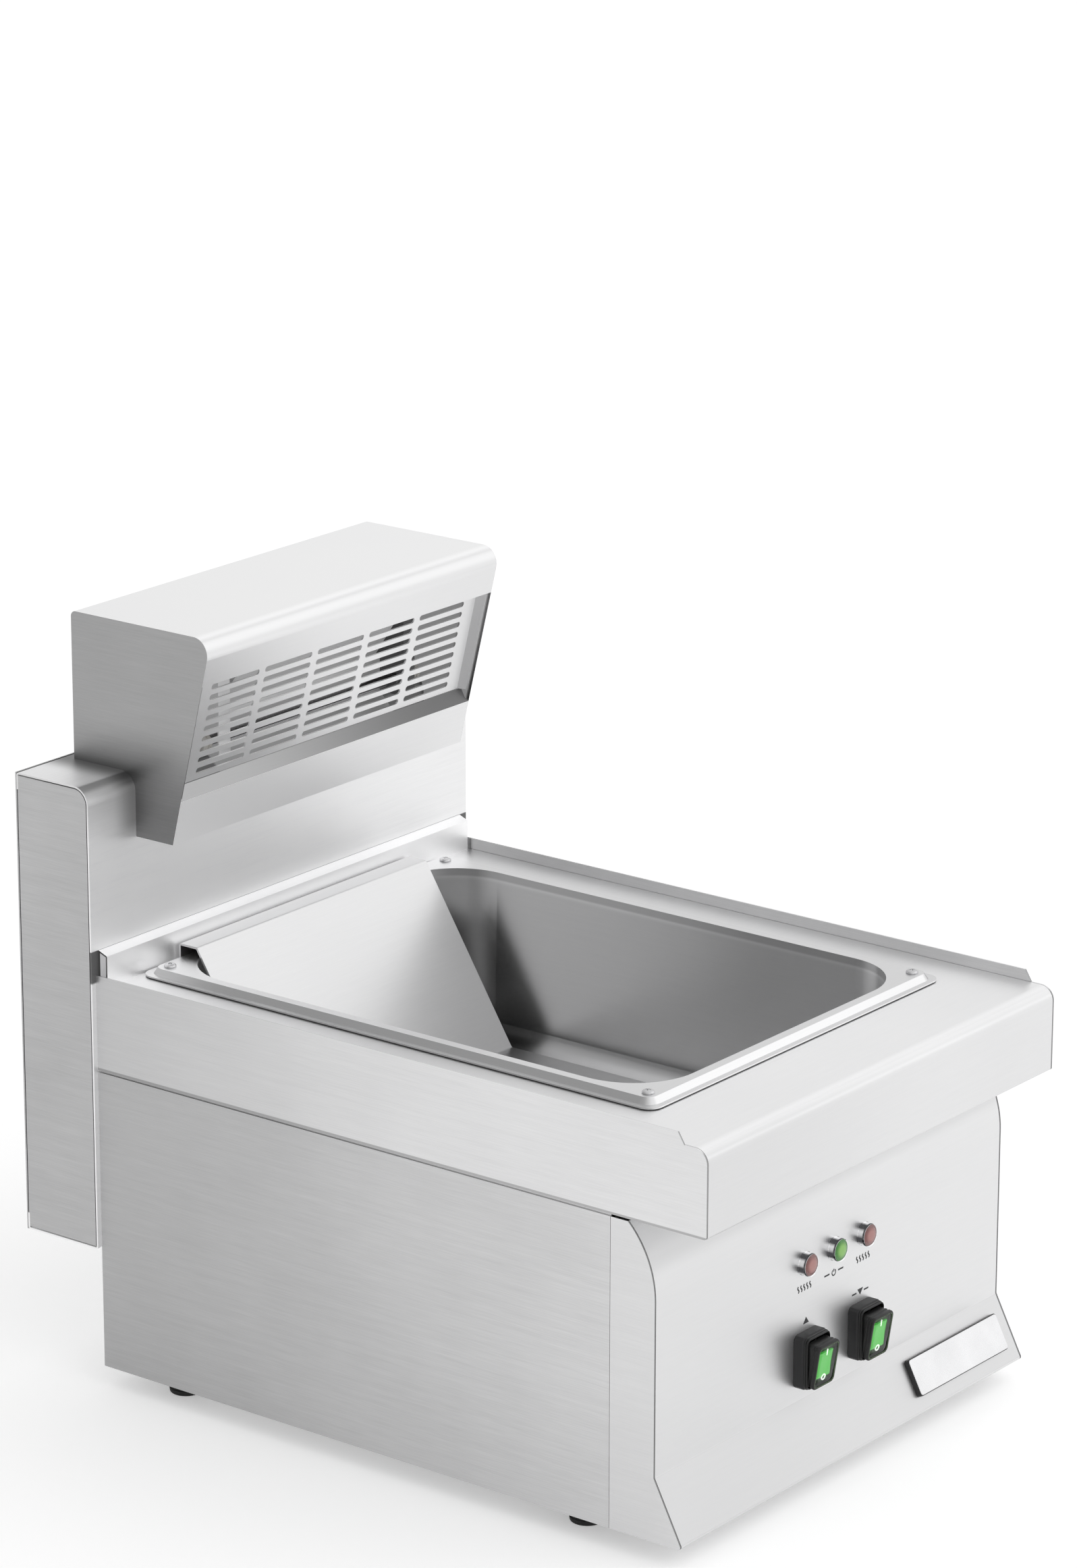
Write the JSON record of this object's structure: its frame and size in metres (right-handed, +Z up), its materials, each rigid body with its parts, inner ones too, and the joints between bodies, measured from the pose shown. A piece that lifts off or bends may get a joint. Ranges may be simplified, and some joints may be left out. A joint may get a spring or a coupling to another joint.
{
  "type": "fry warmer",
  "caption": "Counter-top fry warmer: stainless case on rubber feet with a heated basin, slotted drainer insert, pilot lamps, rocker switches and a rear hood with a grilled heat lamp.",
  "frame": {"origin": "on the ground, under the middle of the machine's bounding box", "axes": "+X to the right as the user faces the front, +Y to the back, +Z up"},
  "size_m": [0.408, 0.5824, 0.539],
  "materials": {
    "stainless_sheet": "fine brushed stainless sheet",
    "satin_steel": "satin stainless",
    "plated_steel": "bright plated or stainless hardware",
    "bright_aluminium": "bright anodised",
    "heater_sheath": "dark oxidised sheath",
    "quartz_glass": "clear quartz tube with ceramic ends",
    "chromed_ring": "polished",
    "red_lens": "translucent unlit red",
    "green_lens": "translucent green",
    "green_rocker": "translucent green",
    "clear_cover": "clear soft cover",
    "black_plastic": "moulded black",
    "white_plastic": "moulded off-white",
    "wire_sleeve": "black sleeving",
    "black_rubber": "black rubber"
  },
  "bodies": {
    "cabinet": {"base_plate": "stainless_sheet", "left_side_panel": "stainless_sheet", "right_side_panel": "stainless_sheet", "left_front_cheek": "stainless_sheet", "right_front_cheek": "stainless_sheet", "front_panel": "stainless_sheet", "back_panel": "stainless_sheet", "worktop": "stainless_sheet", "left_worktop_side": "stainless_sheet", "right_worktop_side": "stainless_sheet", "rear_upstand": "stainless_sheet", "housing_shell": "stainless_sheet", "housing_left_cap": "stainless_sheet", "housing_right_cap": "stainless_sheet", "housing_back_cover": "stainless_sheet", "hood_shell": "stainless_sheet", "hood_apron": "stainless_sheet", "hood_left_side": "stainless_sheet", "hood_right_side": "stainless_sheet", "hood_grille": "satin_steel", "upper_heater": "quartz_glass", "hood_reflector": "bright_aluminium", "heater_brackets": "plated_steel", "basin": "satin_steel", "basin_seal": "black_rubber", "lower_heater": "heater_sheath", "heater_clamps": "plated_steel", "clamp_nuts": "plated_steel", "thermostat": "bright_aluminium", "pan_head_screws": "plated_steel", "left_lamp_bezel": "chromed_ring", "left_lamp_lens": "red_lens", "left_lamp_body": "black_plastic", "middle_lamp_bezel": "chromed_ring", "middle_lamp_lens": "green_lens", "middle_lamp_body": "black_plastic", "right_lamp_bezel": "chromed_ring", "right_lamp_lens": "red_lens", "right_lamp_body": "black_plastic", "lamp_nuts": "black_plastic", "up_switch_base": "black_plastic", "up_switch_bellows": "black_rubber", "up_switch_body": "black_plastic", "down_switch_base": "black_plastic", "down_switch_bellows": "black_rubber", "down_switch_body": "black_plastic", "name_plate": "bright_aluminium", "front_left_foot": "black_rubber", "front_right_foot": "black_rubber", "back_left_foot": "black_rubber", "back_right_foot": "black_rubber", "foot_screws": "plated_steel", "terminal_block": "white_plastic", "wiring_loom": "wire_sleeve", "cable_gland": "black_plastic"},
    "insert": {"drainer_insert": "satin_steel"},
    "up_switch_rocker": {"up_rocker": "green_rocker", "up_rocker_cover": "clear_cover"},
    "down_switch_rocker": {"down_rocker": "green_rocker", "down_rocker_cover": "clear_cover"}
  },
  "joints": [
    {"name": "insert_lift", "type": "slide", "parent": "cabinet", "child": "insert", "axis": [0, 0, 1], "range_m": [0, 0.08]},
    {"name": "up_switch_rock", "type": "hinge", "parent": "cabinet", "child": "up_switch_rocker", "pos_m": [-0.0315, -0.2572, 0.0885], "axis": [-1, 0, 0], "range_deg": [0, 18]},
    {"name": "down_switch_rock", "type": "hinge", "parent": "cabinet", "child": "down_switch_rocker", "pos_m": [0.0315, -0.2572, 0.0885], "axis": [-1, 0, 0], "range_deg": [0, 18]}
  ]
}
